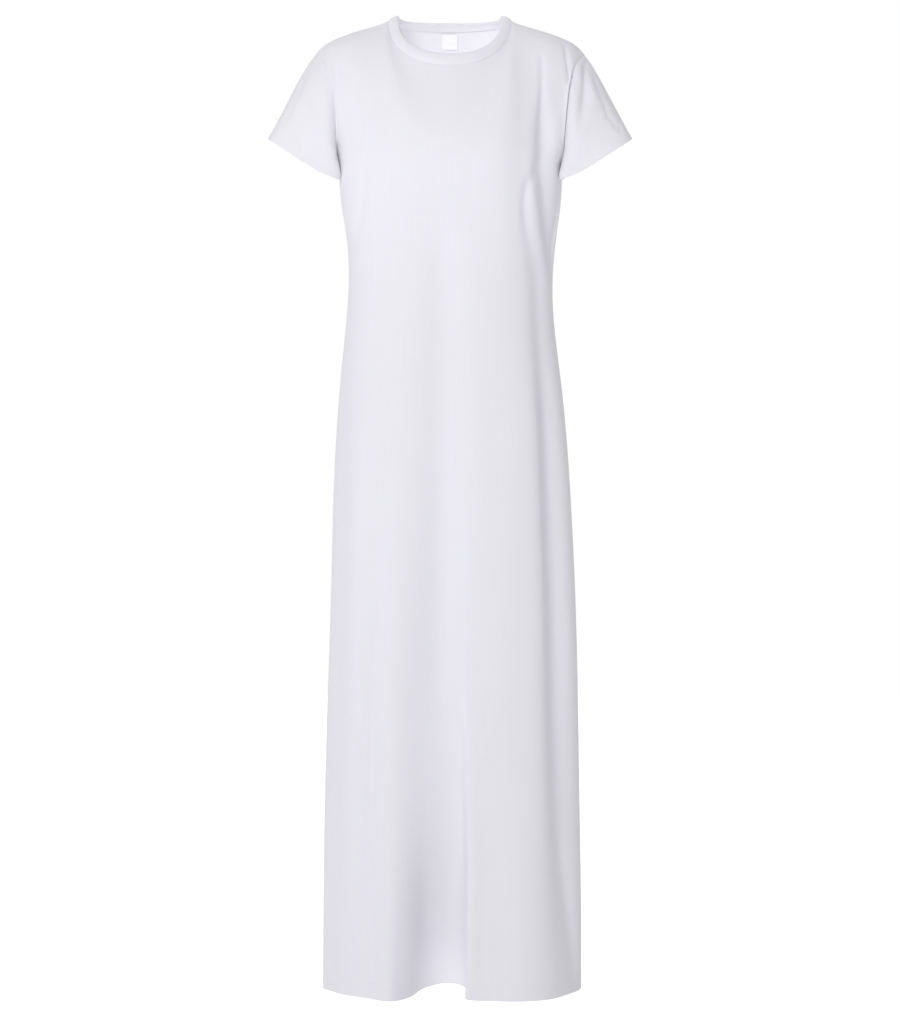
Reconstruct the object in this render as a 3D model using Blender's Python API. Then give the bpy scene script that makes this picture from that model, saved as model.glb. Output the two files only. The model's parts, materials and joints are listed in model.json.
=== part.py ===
"""Maxi dress in white cotton jersey, filled out as if worn, with nobody in it.

The pieces are the ones that a maker cuts and sews: a front, a back, two short set-in sleeves, a ribbed
neckband and a small bare label inside the back neck. Each is a thin closed wall on a surface that is worked
out from the sizes below.

The origin lies at the middle of the neck, level with the ends of the two shoulder seams. The front faces -Y,
+X is the viewer's right, and the hem hangs at the bottom, near z = HEM_HEIGHT.
"""

import bpy
import numpy as np

MM = 0.001

# Walls and seams, in millimetres.
CLOTH_WALL = 1.5
BAND_WALL = 2.4
LABEL_WALL = 1.0
SEAM_GAP = 0.3
SLEEVE_RETREAT = 0.25

# Heights, in millimetres above the neck ends of the shoulder seams.
UNDERARM_HEIGHT = -214
HEM_HEIGHT = -1427

# Side seams: height, then how far the left and the right one lie from the middle.
SIDE_SEAMS = (
    (-214, 164, 166),
    (-262, 161, 164),
    (-310, 154, 158),
    (-373, 149.5, 152),
    (-430, 152, 152.5),
    (-500, 159, 160),
    (-580, 166, 169),
    (-700, 172, 178),
    (-850, 176, 185),
    (-1150, 185, 190),
    (-1427, 188, 193.5),
)

# The cloth's ridges and troughs run down each panel. A row has the line's place across and its depth, the
# front being -Y, at the chest, waist, hip, knee and hem.
LEVELS = (UNDERARM_HEIGHT, -373, -600, -1000, HEM_HEIGHT)
FRONT_LINES = (
    # name, place across at the five levels, depth at the five levels
    ("left side turn", (-154, -138, -153, -164, -175), (-42, -42, -50, -42, -30)),
    ("left ridge", (-118, -106, -126, -138, -146), (-78, -73, -88, -84, -68)),
    ("left trough", (-86, -80, -100, -111, -116), (-95, -84, -101, -96, -91)),
    ("left bulge", (-56, -55, -73, -82, -87), (-102, -89, -110, -111, -113)),
    ("valley left wall", (-32, -33, -39, -46, -52), (-105, -90, -111, -99, -52)),
    ("valley floor left", (-8, -12, -14, -21, -29), (-106, -91, -110, -86, 30)),
    ("valley floor right", (14, 12, 8, 2, 14), (-106, -92, -111, -88, 43)),
    ("valley right wall", (31, 31, 26, 17, 27), (-106, -93, -113, -104, -22)),
    ("right bulge corner", (48, 49, 43, 29, 26), (-105, -92, -114, -113, -88)),
    ("right bulge left", (74, 74, 76, 65, 50), (-101, -88, -111, -113, -107)),
    ("right bulge front", (100, 97, 107, 105, 100), (-90, -79, -102, -107, -114)),
    ("right bulge turn", (123, 115, 130, 137, 145), (-75, -66, -85, -88, -98)),
    ("right trough", (139, 128, 141, 149, 173), (-57, -51, -62, -57, -60)),
    ("right side ridge", (156, 141, 155, 170, 187), (-36, -34, -42, -37, -30)),
)
BACK_LINES = (
    ("left side turn", (-154, -137, -154, -165, -174), (42, 42, 58, 54, 48)),
    ("left ridge", (-116, -104, -127, -138, -142), (78, 72, 98, 94, 90)),
    ("left trough", (-84, -78, -94, -101, -104), (90, 80, 111, 92, 66)),
    ("left bulge", (-54, -50, -60, -64, -66), (96, 86, 121, 112, 104)),
    ("middle bulge", (-22, -18, -22, -26, -25), (98, 88, 123, 117, 112)),
    ("middle trough", (10, 8, 10, 12, 16), (98, 88, 122, 104, 88)),
    ("right bulge", (40, 36, 44, 51, 55), (96, 86, 121, 112, 106)),
    ("right bulge side", (70, 64, 78, 87, 90), (92, 81, 112, 106, 99)),
    ("right trough", (98, 90, 106, 115, 120), (84, 72, 98, 80, 60)),
    ("right ridge", (124, 112, 131, 145, 151), (70, 61, 83, 77, 70)),
    ("right side turn", (155, 139, 155, 173, 182), (42, 40, 52, 46, 40)),
)

# Top edges. The neckline is half an ellipse of this half width, depth and drop on each panel.
NECK_HALF_WIDTH = 91
NECK_ROUNDNESS = 0.92
FRONT_NECK = {"depth": -72, "drop": -74}
BACK_NECK = {"depth": 68, "drop": -2}
SHOULDER = ((91, 0), (136, -10), (170, -22.5), (189, -34), (200, -48))

# How the cloth leaves the underarm level and how it meets the top edge, as pulls across, forward and up.
EDGE_SHARPNESS = 9
ARMHOLE_START = (15, 215, 90)
ARMHOLE_END = (100, 240, 60)
SHOULDER_END = (0, 225, 50)
NECK_SIDE_END = (-110, 170, 80)
FRONT_NECK_END = (0, 46, 132)
BACK_NECK_END = (0, 58, 165)

# Sleeves: the cuff is an ellipse that leans out, from its inner corner to its outer tip.
CUFF_INNER = (174, -236)
CUFF_TIP = (268, -172.5)
CUFF_HALF_DEPTH = 47
CUFF_BACK_RISE = 7
SLEEVE_START_UNDERARM = (34, 10, 4)
SLEEVE_START_TOP = (72, 34, -88)
SLEEVE_END_UNDERARM = 20
SLEEVE_END_TOP = 125

# The neckband leans in by these amounts from its seam to its edge, at the side, front and back.
BAND_SIDE = (-14.5, 10)
BAND_FRONT = (6, 18)
BAND_BACK = (-14.5, 10.5)
BAND_BOW = 1.2

# Label: its span across and up on the back panel's own grid, and its clearance from the cloth.
LABEL_ACROSS = (-0.037, 0.035)
LABEL_UP = (0.862, 0.99)
LABEL_CLEARANCE = 0.3

# Creases that are shallower than the main lines. A row has a panel, the crease's upper and lower end across
# and up, its half width and its depth, which is negative where it is a raised ridge.
CREASES = (
    # panel, upper end, lower end, half width, depth
    ("front", (136, -66), (131, -176), 11, 4.0),
    ("front", (131, -176), (146, -352), 12, 6.0),
    ("front", (113, -196), (136, -330), 12, -5.0),
    ("front", (-118, -66), (-121, -180), 12, 3.0),
    ("front", (-121, -190), (-136, -330), 12, 3.5),
    ("front", (-98, -210), (-122, -330), 13, -3.0),
    ("back", (128, -80), (134, -230), 13, 4.0),
    ("back", (-126, -90), (-134, -240), 13, 4.0),
    ("back", (70, -300), (-60, -345), 16, 4.0),
    ("back", (80, -352), (-50, -398), 15, 4.0),
)

# Grid of each piece: columns across a panel, rows below and above the underarm, and the other pieces' rows.
PANEL_COLUMNS = 44
SKIRT_ROWS = 17
CHEST_ROWS = 11
SLEEVE_ROWS = 8
BAND_ROWS = 3
LABEL_CELLS = 4
NECK_SHARE = 0.5

# Where two edges meet at a seam, both are cut into triangles by their corners' order along this direction.
RIM_ORDER = np.array([0.37, 0.21, 1.0])

COTTON = (0.84, 0.835, 0.875, 1.0)
LABEL_COTTON = (0.93, 0.93, 0.94, 1.0)


def spline(knots, values, at, start=None, end=None):
    """Smooth cubic through values (knots, ...) read at the places `at`; start and end fix the end slopes."""
    knots = np.asarray(knots, float)
    values = np.asarray(values, float)
    shape = values.shape[1:]
    values = values.reshape(len(knots), -1)
    if knots[0] > knots[-1]:
        knots = knots[::-1]
        values = values[::-1]
    step = np.diff(knots)
    rise = np.diff(values, axis=0) / step[:, None]
    system = np.zeros((len(knots), len(knots)))
    right = np.zeros_like(values)
    for i in range(1, len(knots) - 1):
        system[i, i - 1 : i + 2] = step[i], 2 * (step[i - 1] + step[i]), step[i - 1]
        right[i] = 3 * (step[i] * rise[i - 1] + step[i - 1] * rise[i])
    for end_row, slope, beside, first in ((0, start, 1, 0), (-1, end, -2, -1)):
        system[end_row, end_row] = 1 if slope is not None else 2
        if slope is None:
            system[end_row, beside] = 1
            right[end_row] = 3 * rise[first]
        else:
            right[end_row] = np.ravel(slope)
    slopes = np.linalg.solve(system, right)
    at = np.clip(np.asarray(at, float), knots[0], knots[-1])
    cell = np.clip(np.searchsorted(knots, at) - 1, 0, len(step) - 1)
    part = (at - knots[cell]) / step[cell]
    result = hermite(
        values[cell],
        slopes[cell] * step[cell][:, None],
        values[cell + 1],
        slopes[cell + 1] * step[cell][:, None],
        part[:, None],
    )
    return result.reshape(len(at), *shape)


def hermite(begin, leave, finish, arrive, t):
    """Cubic from begin to finish that leaves and arrives with the two given pulls, at t from 0 to 1."""
    return (
        (2 * t**3 - 3 * t**2 + 1) * begin
        + (t**3 - 2 * t**2 + t) * leave
        + (3 * t**2 - 2 * t**3) * finish
        + (t**3 - t**2) * arrive
    )


def unit(vectors):
    return vectors / np.maximum(np.linalg.norm(vectors, axis=-1, keepdims=True), 1e-9)


def line_points(lines, heights):
    """Points (height, line, xyz) of a panel's lines with its two side seams, at the given heights."""
    seams = np.array(SIDE_SEAMS, float)
    levels = np.array(LEVELS, float)
    across = np.array([row[1] for row in lines], float).T
    depth = np.array([row[2] for row in lines], float).T

    def middle_and_half(z):
        left, right = spline(seams[:, 0], seams[:, 1:], z).T
        return (right - left) / 2, (right + left) / 2

    middle, half = middle_and_half(levels)
    share = (across - middle[:, None]) / half[:, None]
    side = np.ones((len(levels), 1))
    share = np.hstack([-side, share, side])
    depth = np.hstack([0 * side, depth, 0 * side])
    middle, half = middle_and_half(heights)
    share = spline(levels, share, heights)
    x = middle[:, None] + half[:, None] * share
    y = spline(levels, depth, heights)
    z = np.broadcast_to(np.asarray(heights, float)[:, None], x.shape)
    return np.stack([x, y, z], axis=-1)


def line_knots(lines):
    """Place of each line between the side seams at -1 and 1, by the mean length of cloth between them."""
    points = line_points(lines, np.array(LEVELS, float))
    length = np.linalg.norm(np.diff(points, axis=1), axis=-1)
    share = np.cumsum(length, axis=1) / length.sum(axis=1, keepdims=True)
    return 2 * np.concatenate([[0], share.mean(axis=0)]) - 1


def skirt(lines, columns, heights):
    """Points (height, column, xyz) below the underarm: a smooth section through the lines at each height."""
    knots = line_knots(lines)
    rows = []
    for points in line_points(lines, heights):
        facing = np.sign(points[1, 1])
        start = np.linalg.norm(points[1] - points[0]) / (knots[1] - knots[0])
        end = np.linalg.norm(points[-1] - points[-2]) / (knots[-1] - knots[-2])
        rows.append(
            spline(knots, points, columns, (0, facing * start, 0), (0, -facing * end, 0))
        )
    return np.array(rows)


def top_edge(columns, neck):
    """Points of the shoulder seams and the neckline, one for each column, and the cloth's pull as it ends."""
    side = np.sign(columns)
    facing = np.sign(neck["depth"])
    shoulder = np.array(SHOULDER, float)
    length = np.linalg.norm(np.diff(shoulder, axis=0), axis=1)
    knots = np.concatenate([[0], np.cumsum(length)]) / length.sum()
    along = np.clip((abs(columns) - NECK_SHARE) / (1 - NECK_SHARE), 0, 1)
    seam = spline(knots, shoulder, along)
    angle = np.clip(columns / NECK_SHARE, -1, 1) * np.pi / 2
    bow = np.clip(np.cos(angle), 0, 1) ** NECK_ROUNDNESS
    neckline = np.stack(
        [
            NECK_HALF_WIDTH * np.sign(angle) * abs(np.sin(angle)) ** NECK_ROUNDNESS,
            neck["depth"] * bow,
            neck["drop"] * bow,
        ],
        axis=-1,
    )
    on_shoulder = (abs(columns) > NECK_SHARE)[:, None]
    edge = np.where(on_shoulder, np.stack([side * seam[:, 0], 0 * side, seam[:, 1]], axis=-1), neckline)
    middle_end = np.array(FRONT_NECK_END if facing < 0 else BACK_NECK_END, float)
    blend = (np.sin(angle) ** 2)[:, None]
    neck_pull = middle_end + blend * (np.array(NECK_SIDE_END) - middle_end)
    toward_tip = (along**3)[:, None]
    toward_shoulder = np.clip(3 * along, 0, 1)[:, None]
    pull = neck_pull + toward_shoulder * (np.array(SHOULDER_END) - neck_pull)
    pull = pull + toward_tip * (np.array(ARMHOLE_END) - pull)
    return edge, pull * np.stack([side, -facing + 0 * side, 1 + 0 * side], axis=-1)


def chest(lines, neck, columns, steps):
    """Points (step, column, xyz) from the underarm level up to the shoulder seams and the neckline."""
    rise = 1.0
    below, base = skirt(lines, columns, (UNDERARM_HEIGHT - rise, UNDERARM_HEIGHT))
    up = unit(base - below)
    facing = np.sign(neck["depth"])
    edge, arrive = top_edge(columns, neck)
    height = np.linalg.norm(edge - base, axis=1)[:, None]
    nearness = (abs(columns) ** EDGE_SHARPNESS)[:, None]
    side = np.sign(columns)
    swing = np.stack(
        [
            side * ARMHOLE_START[0],
            facing * ARMHOLE_START[1] + 0 * side,
            ARMHOLE_START[2] + 0 * side,
        ],
        axis=-1,
    )
    leave = up * height * (1 - nearness) + swing * nearness
    return np.array([hermite(base, leave, edge, arrive, t) for t in steps])


def normals(points, closed=False):
    """Unit normals of a grid (row, column, xyz), pointing to the side where rows cross columns."""
    if closed:
        points = np.concatenate([points[:, -2:-1], points, points[:, 1:2]], axis=1)
    down = np.gradient(points, axis=0)
    across = np.gradient(points, axis=1)
    result = unit(np.cross(across, down))
    return result[:, 1:-1] if closed else result


def crease_depth(panel, points):
    """How far each point of a panel sinks in, from the rows of CREASES that lie on it."""
    sunk = np.zeros(points.shape[:2])
    for name, upper, lower, half_width, depth in CREASES:
        if name != panel:
            continue
        start = np.array(upper, float)
        run = np.array(lower, float) - start
        place = points[..., [0, 2]] - start
        along = place @ run / (run @ run)
        off = np.linalg.norm(place - np.clip(along, 0, 1)[..., None] * run, axis=-1)
        fade = np.clip(1.2 - abs(2 * along - 1), 0, 1)
        sunk += depth * fade * np.exp(-((off / half_width) ** 2))
    return sunk


def panel_grid(name, lines, neck, columns, skirt_rows, chest_rows):
    """Points (row, column, xyz) of a whole panel from the hem up, and its outward normals."""
    columns = np.asarray(columns, float)
    heights = np.linspace(HEM_HEIGHT, UNDERARM_HEIGHT, skirt_rows + 1)
    steps = np.linspace(0, 1, chest_rows + 1)[1:]
    points = np.concatenate(
        [skirt(lines, columns, heights), chest(lines, neck, columns, steps)]
    )
    outward = normals(points) * (1 if neck["depth"] < 0 else -1)
    near_edge = 1 - abs(columns) ** 16
    points = points - outward * (crease_depth(name, points) * near_edge)[..., None]
    return points, normals(points) * (1 if neck["depth"] < 0 else -1)


def armhole(front, back, side):
    """The armhole's loop from the underarm up the front and down the back, closed on its first point."""
    column = -1 if side > 0 else 0
    up = front[-CHEST_ROWS - 1 :, column]
    return np.concatenate([up, back[-CHEST_ROWS - 1 :, column][-2::-1]])


def sleeve_grid(loop, side, rows):
    """Points (row, column, xyz) from the armhole's loop down to the cuff's leaning ellipse."""
    turn = np.linspace(0, 2 * np.pi, len(loop))
    top = ((1 - np.cos(turn)) / 2)[:, None]
    front = np.sin(turn)
    inner = np.array([CUFF_INNER[0], 0, CUFF_INNER[1]], float)
    tip = np.array([CUFF_TIP[0], 0, CUFF_TIP[1]], float)
    middle = (inner + tip) / 2
    lean = (tip - inner) / 2
    cuff = middle - np.cos(turn)[:, None] * lean
    cuff[:, 1] -= CUFF_HALF_DEPTH * front
    cuff[:, 2] += CUFF_BACK_RISE * np.clip(-front, 0, 1)
    axis = unit(np.array([-lean[2], 0, lean[0]]) * -1)
    leave = np.array(SLEEVE_START_UNDERARM) + top * (
        np.array(SLEEVE_START_TOP) - np.array(SLEEVE_START_UNDERARM)
    )
    leave[:, 1] *= -front
    arrive = (SLEEVE_END_UNDERARM + top * (SLEEVE_END_TOP - SLEEVE_END_UNDERARM)) * axis
    mirror = np.array([side, 1, 1])
    begin = loop * mirror
    steps = np.linspace(0, 1, rows + 1)
    return np.array([hermite(begin, leave, cuff, arrive, t) for t in steps]) * mirror


def neck_loop(front, back):
    """The neckline's loop from the left along the front and back along the back, closed."""
    half = int(PANEL_COLUMNS * NECK_SHARE / 2)
    middle = PANEL_COLUMNS // 2
    part = slice(middle - half, middle + half + 1)
    return np.concatenate([front[-1, part], back[-1, part][-2::-1]])


def band_grid(loop, rows):
    """Points (row, column, xyz) from the neckline's seam up and in to the band's edge, slightly bowed."""
    turn = np.linspace(0, 2 * np.pi, len(loop))
    sideways = -np.cos(turn)
    front = np.clip(np.sin(turn), 0, 1)
    back = np.clip(-np.sin(turn), 0, 1)
    side = 1 - front - back
    lean = np.stack(
        [
            BAND_SIDE[0] * sideways,
            BAND_FRONT[0] * front + BAND_BACK[0] * back,
            BAND_FRONT[1] * front + BAND_BACK[1] * back + BAND_SIDE[1] * side,
        ],
        axis=-1,
    )
    around = unit(np.gradient(loop, axis=0))
    around[[0, -1]] = unit(loop[1] - loop[-2])
    bow = unit(np.cross(around, lean)) * BAND_BOW
    return np.array(
        [loop + t * lean + np.sin(np.pi * t) * bow for t in np.linspace(0, 1, rows + 1)]
    )


def retreat(points, directions, edge, gap):
    """Moves one edge of a grid back along the cloth by gap: edge is first_row, last_row, first or last."""
    pick, beside = {
        "first_row": ((0, slice(None)), (1, slice(None))),
        "last_row": ((-1, slice(None)), (-2, slice(None))),
        "first": ((slice(None), 0), (slice(None), 1)),
        "last": ((slice(None), -1), (slice(None), -2)),
    }[edge]
    line = points[pick]
    along = np.gradient(line, axis=0)
    if np.allclose(line[0], line[-1]):
        along[[0, -1]] = line[1] - line[-2]
    back_off = unit(np.cross(along, directions[pick]))
    toward = ((points[beside] - line) * back_off).sum()
    points[pick] = line + back_off * gap * np.sign(toward)


def wall_mesh(name, points, directions, thickness, closed=False):
    """Closed wall of the given thickness on a grid (row, column, xyz); closed joins the last column on."""
    if closed:
        points = points[:, :-1]
        directions = directions[:, :-1]
    rows, columns = points.shape[:2]
    offset = directions * thickness / 2
    vertices = np.concatenate([(points + offset).reshape(-1, 3), (points - offset).reshape(-1, 3)]) * MM
    inner = rows * columns

    def at(row, column):
        return row * columns + column % columns

    faces = []
    last = columns if closed else columns - 1
    for row in range(rows - 1):
        for column in range(last):
            cell = [
                at(row, column),
                at(row, column + 1),
                at(row + 1, column + 1),
                at(row + 1, column),
            ]
            faces.append(cell)
            faces.append([corner + inner for corner in reversed(cell)])
    border = [(at(0, c + 1), at(0, c)) for c in range(last)]
    border += [(at(rows - 1, c), at(rows - 1, c + 1)) for c in range(last)]
    if not closed:
        border += [(at(r, 0), at(r + 1, 0)) for r in range(rows - 1)]
        border += [(at(r + 1, columns - 1), at(r, columns - 1)) for r in range(rows - 1)]
    rank = vertices @ RIM_ORDER
    for start, finish in border:
        if rank[start] < rank[finish]:
            faces.append([start, finish, finish + inner])
            faces.append([start, finish + inner, start + inner])
        else:
            faces.append([start, finish, start + inner])
            faces.append([finish, finish + inner, start + inner])
    mesh = bpy.data.meshes.new(name)
    mesh.from_pydata(vertices.tolist(), [], faces)
    if signed_volume(vertices, faces) < 0:
        mesh.flip_normals()
    mesh.shade_smooth()
    mesh.set_sharp_from_angle(angle=np.radians(50))
    return mesh


def signed_volume(vertices, faces):
    """Volume inside the faces, which is positive when they point out."""
    total = 0.0
    for face in faces:
        for i in range(1, len(face) - 1):
            total += np.dot(vertices[face[0]], np.cross(vertices[face[i]], vertices[face[i + 1]])) / 6
    return total


def cloth_material(name, colour):
    material = bpy.data.materials.new(name)
    material.use_nodes = True
    shader = material.node_tree.nodes["Principled BSDF"]
    shader.inputs["Base Color"].default_value = colour
    shader.inputs["Roughness"].default_value = 0.9
    shader.inputs["Metallic"].default_value = 0.0
    return material


def add_piece(name, mesh, colour):
    mesh.materials.append(cloth_material(name + "_cloth", colour))
    piece = bpy.data.objects.new(name, mesh)
    bpy.context.collection.objects.link(piece)
    return piece


def share_wall_directions(front_way, back_way, sleeve_ways, band_way):
    """At each seam both pieces take the mean of their wall directions, so that their edges lie parallel."""
    first = -CHEST_ROWS - 1
    half = int(PANEL_COLUMNS * NECK_SHARE / 2)
    middle = PANEL_COLUMNS // 2
    for column in (0, -1):
        shared = unit(front_way[:first, column] + back_way[:first, column])
        front_way[:first, column] = shared
        back_way[:first, column] = shared
    for part in (slice(0, middle - half), slice(middle + half + 1, None)):
        shared = unit(front_way[-1, part] + back_way[-1, part])
        front_way[-1, part] = shared
        back_way[-1, part] = shared
    for column, sleeve_way in ((0, sleeve_ways[0]), (-1, sleeve_ways[1])):
        rows = np.concatenate([front_way[first:, column], back_way[first:, column][-2::-1]])
        shared = unit(unit(rows) + sleeve_way[0])
        for end, other in ((0, -1), (CHEST_ROWS, CHEST_ROWS)):
            shared[end] = unit(shared[end] + shared[other])
        shared[-1] = shared[0]
        sleeve_way[0] = shared
        front_way[first:, column] = shared[: CHEST_ROWS + 1]
        back_way[first:, column] = shared[CHEST_ROWS:][::-1]
    part = slice(middle - half, middle + half + 1)
    rows = np.concatenate([front_way[-1, part], back_way[-1, part][-2::-1]])
    shared = unit(rows + band_way[0])
    shared[0] = shared[-1] = unit(shared[0] + shared[-1])
    band_way[0] = shared
    front_way[-1, part] = shared[: 2 * half + 1]
    back_way[-1, part] = shared[2 * half :][::-1]


def build():
    for old in list(bpy.data.objects):
        bpy.data.objects.remove(old, do_unlink=True)

    columns = np.linspace(-1, 1, PANEL_COLUMNS + 1)
    front, front_way = panel_grid(
        "front", FRONT_LINES, FRONT_NECK, columns, SKIRT_ROWS, CHEST_ROWS
    )
    back, back_way = panel_grid("back", BACK_LINES, BACK_NECK, columns, SKIRT_ROWS, CHEST_ROWS)

    sleeves = {}
    for name, side in (("sleeve_left", -1), ("sleeve_right", 1)):
        points = sleeve_grid(armhole(front, back, side), side, SLEEVE_ROWS)
        sleeves[name] = (points, normals(points, closed=True) * -side)
    band = band_grid(neck_loop(front, back), BAND_ROWS)
    band_way = normals(band, closed=True)
    if (band_way[1, PANEL_COLUMNS // 4] @ np.array([0, -1, 0])) < 0:
        band_way = -band_way
    for points, way in sleeves.values():
        outward = points[-1, len(points[0]) // 4] - points[-1].mean(axis=0)
        if way[-1, len(points[0]) // 4] @ outward < 0:
            way *= -1
    share_wall_directions(front_way, back_way, [way for points, way in sleeves.values()], band_way)

    half_gap = SEAM_GAP / 2
    for points, way in ((front, front_way), (back, back_way)):
        for edge in ("first", "last", "last_row"):
            retreat(points, way, edge, half_gap)
    retreat(band, band_way, "first_row", half_gap)
    for points, way in sleeves.values():
        retreat(points, way, "first_row", SLEEVE_RETREAT)

    add_piece("front", wall_mesh("front", front, front_way, CLOTH_WALL), COTTON)
    add_piece("back", wall_mesh("back", back, back_way, CLOTH_WALL), COTTON)
    for name, (points, way) in sleeves.items():
        add_piece(name, wall_mesh(name, points, way, CLOTH_WALL, closed=True), COTTON)
    add_piece("neckband", wall_mesh("neckband", band, band_way, BAND_WALL, closed=True), COTTON)
    add_piece("label", label_mesh(), LABEL_COTTON)


def label_mesh():
    """A small flat wall made from the back panel's own points, moved in towards the neck."""
    columns = np.linspace(LABEL_ACROSS[0], LABEL_ACROSS[1], LABEL_CELLS + 1)
    steps = np.linspace(LABEL_UP[0], LABEL_UP[1], LABEL_CELLS + 1)
    points = chest(BACK_LINES, BACK_NECK, columns, steps)
    way = -normals(points)
    distance = CLOTH_WALL / 2 + LABEL_CLEARANCE + LABEL_WALL / 2
    return wall_mesh("label", points - way * distance, way, LABEL_WALL)


build()
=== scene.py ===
"""Maxi dress in white cotton jersey, filled out as if worn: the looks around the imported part.

Every piece is a surface worked out from the sizes below, as a function of a place across and a place up. The
origin lies at the middle of the neck, level with the neck ends of the shoulder seams. The front faces -Y, and
+X is the viewer's right. Tables are in millimetres, and the meshes in metres.
"""

import functools
import json

import bpy
import numpy as np
from bpy.props import FloatProperty, FloatVectorProperty, PointerProperty
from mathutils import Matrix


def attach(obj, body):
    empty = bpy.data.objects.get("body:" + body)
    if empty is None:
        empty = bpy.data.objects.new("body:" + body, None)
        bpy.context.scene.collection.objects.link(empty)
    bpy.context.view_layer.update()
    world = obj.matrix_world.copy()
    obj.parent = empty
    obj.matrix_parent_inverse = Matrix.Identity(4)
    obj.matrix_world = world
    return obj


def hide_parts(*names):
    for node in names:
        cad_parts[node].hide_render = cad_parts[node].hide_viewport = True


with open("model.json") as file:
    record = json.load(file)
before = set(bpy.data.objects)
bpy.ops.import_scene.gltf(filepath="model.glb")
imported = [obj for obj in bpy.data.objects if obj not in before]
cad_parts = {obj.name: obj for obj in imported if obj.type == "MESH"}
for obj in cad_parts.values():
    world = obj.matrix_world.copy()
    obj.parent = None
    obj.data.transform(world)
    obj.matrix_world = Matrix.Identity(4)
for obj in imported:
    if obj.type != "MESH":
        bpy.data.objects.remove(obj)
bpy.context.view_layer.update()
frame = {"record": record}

bl_info = {
    "name": "Jersey Maxi Dress",
    "version": (1, 0, 0),
    "blender": (4, 5, 0),
    "location": "3D View > Sidebar > Dress",
    "description": "Builds a filled-out jersey maxi dress with its seams, hems, rib neckband and folds",
    "category": "Add Mesh",
}

MM = 0.001
BODY = "root"
SIDES = (("left", -1), ("right", 1))

# Heights, in millimetres above the neck ends of the shoulder seams.
UNDERARM_HEIGHT = -214
HEM_HEIGHT = -1427

# Side seams: height, then how far the left and the right one lie from the middle.
SIDE_SEAMS = (
    (-214, 164, 166),
    (-262, 161, 164),
    (-310, 154, 158),
    (-373, 149.5, 152),
    (-430, 152, 152.5),
    (-500, 159, 160),
    (-580, 166, 169),
    (-700, 172, 178),
    (-850, 176, 185),
    (-1150, 185, 191),
    (-1300, 187, 193.5),
    (-1427, 188, 194),
)

# The cloth's ridges and troughs run down each panel. A row has the line's place across and its depth, the
# front being -Y, at the chest, waist, hip, knee, calf and hem.
LEVELS = (UNDERARM_HEIGHT, -373, -600, -1000, -1200, HEM_HEIGHT)
FRONT_LINES = (
    # name, place across at the six levels, depth at the six levels
    ("left side turn", (-154, -138, -153, -164, -170, -175), (-42, -42, -50, -42, -36, -30)),
    ("left ridge", (-118, -106, -126, -138, -143, -146), (-78, -73, -88, -84, -77, -68)),
    ("left trough", (-86, -80, -100, -111, -114.5, -116), (-95, -84, -101, -96, -93, -91)),
    ("left bulge", (-56, -55, -73, -82, -85, -87), (-102, -89, -110, -111, -112, -113)),
    ("valley left wall", (-32, -33, -39, -46, -54, -55), (-105, -90, -111, -102, -100, -72)),
    ("valley floor left", (-8, -12, -14, -21, -30, -34), (-106, -91, -110, -95, -82, -4)),
    ("valley floor right", (14, 12, 8, 0, 4, 12), (-106, -92, -111, -97, -76, 6)),
    ("valley right wall", (31, 31, 26, 17, 21, 30), (-106, -93, -113, -107, -90, -44)),
    ("right bulge corner", (48, 49, 43, 29, 25, 22), (-105, -92, -114, -113, -108, -97)),
    ("right bulge left", (74, 74, 76, 65, 54, 43), (-101, -88, -111, -113, -110, -109)),
    ("right bulge front", (100, 97, 107, 105, 101, 100), (-90, -79, -102, -107, -109.5, -114)),
    ("right bulge turn", (123, 115, 126, 136, 139, 145), (-75, -66, -87, -89, -91, -96)),
    ("right trough", (139, 128, 136, 147, 155.5, 170), (-57, -51, -62, -57, -57, -60)),
    ("right side ridge", (156, 141, 159, 174, 179, 188), (-36, -34, -45, -40, -35, -31)),
)
BACK_LINES = (
    ("left side turn", (-154, -137, -154, -165, -170, -174), (42, 42, 58, 54, 50, 48)),
    ("left ridge", (-116, -104, -127, -138, -141, -142), (78, 72, 98, 94, 89, 90)),
    ("left trough", (-84, -78, -94, -101, -103.5, -104), (90, 80, 111, 92, 77, 66)),
    ("left bulge", (-54, -50, -60, -64, -66, -66), (96, 86, 121, 112, 104, 104)),
    ("middle bulge", (-22, -18, -22, -26, -27, -25), (98, 88, 123, 117, 111, 112)),
    ("middle trough", (10, 8, 10, 12, 12, 16), (98, 88, 122, 104, 92, 88)),
    ("right bulge", (40, 36, 44, 51, 51, 55), (96, 86, 121, 112, 105, 106)),
    ("right bulge side", (70, 64, 78, 87, 87, 90), (92, 81, 112, 106, 99, 99)),
    ("right trough", (98, 90, 106, 115, 115.5, 120), (84, 72, 98, 80, 67, 60)),
    ("right ridge", (124, 112, 131, 145, 146.5, 151), (70, 61, 83, 77, 71, 70)),
    ("right side turn", (155, 139, 155, 173, 177, 182), (42, 40, 52, 46, 42, 40)),
)

# Top edges. The neckline is half an ellipse of this half width, depth and drop on each panel.
NECK_HALF_WIDTH = 91
NECK_ROUNDNESS = 0.92
NECK_SHARE = 0.5
FRONT_NECK = {"depth": -72, "drop": -74}
BACK_NECK = {"depth": 68, "drop": -2}
SHOULDER = ((91, 3.0), (98, -0.2), (111, -4.6), (136, -12), (170, -24.5), (189, -35.5), (200, -48))

# How the cloth leaves the underarm level and how it meets the top edge, as pulls across, forward and up.
EDGE_SHARPNESS = 9
ARMHOLE_START = (15, 192, 92)
ARMHOLE_END = (100, 215, 60)
SHOULDER_END = (0, 225, 50)
NECK_SIDE_END = (-20, 160, 112)
FRONT_NECK_END = (0, 46, 132)
BACK_NECK_END = (0, 58, 165)

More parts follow.
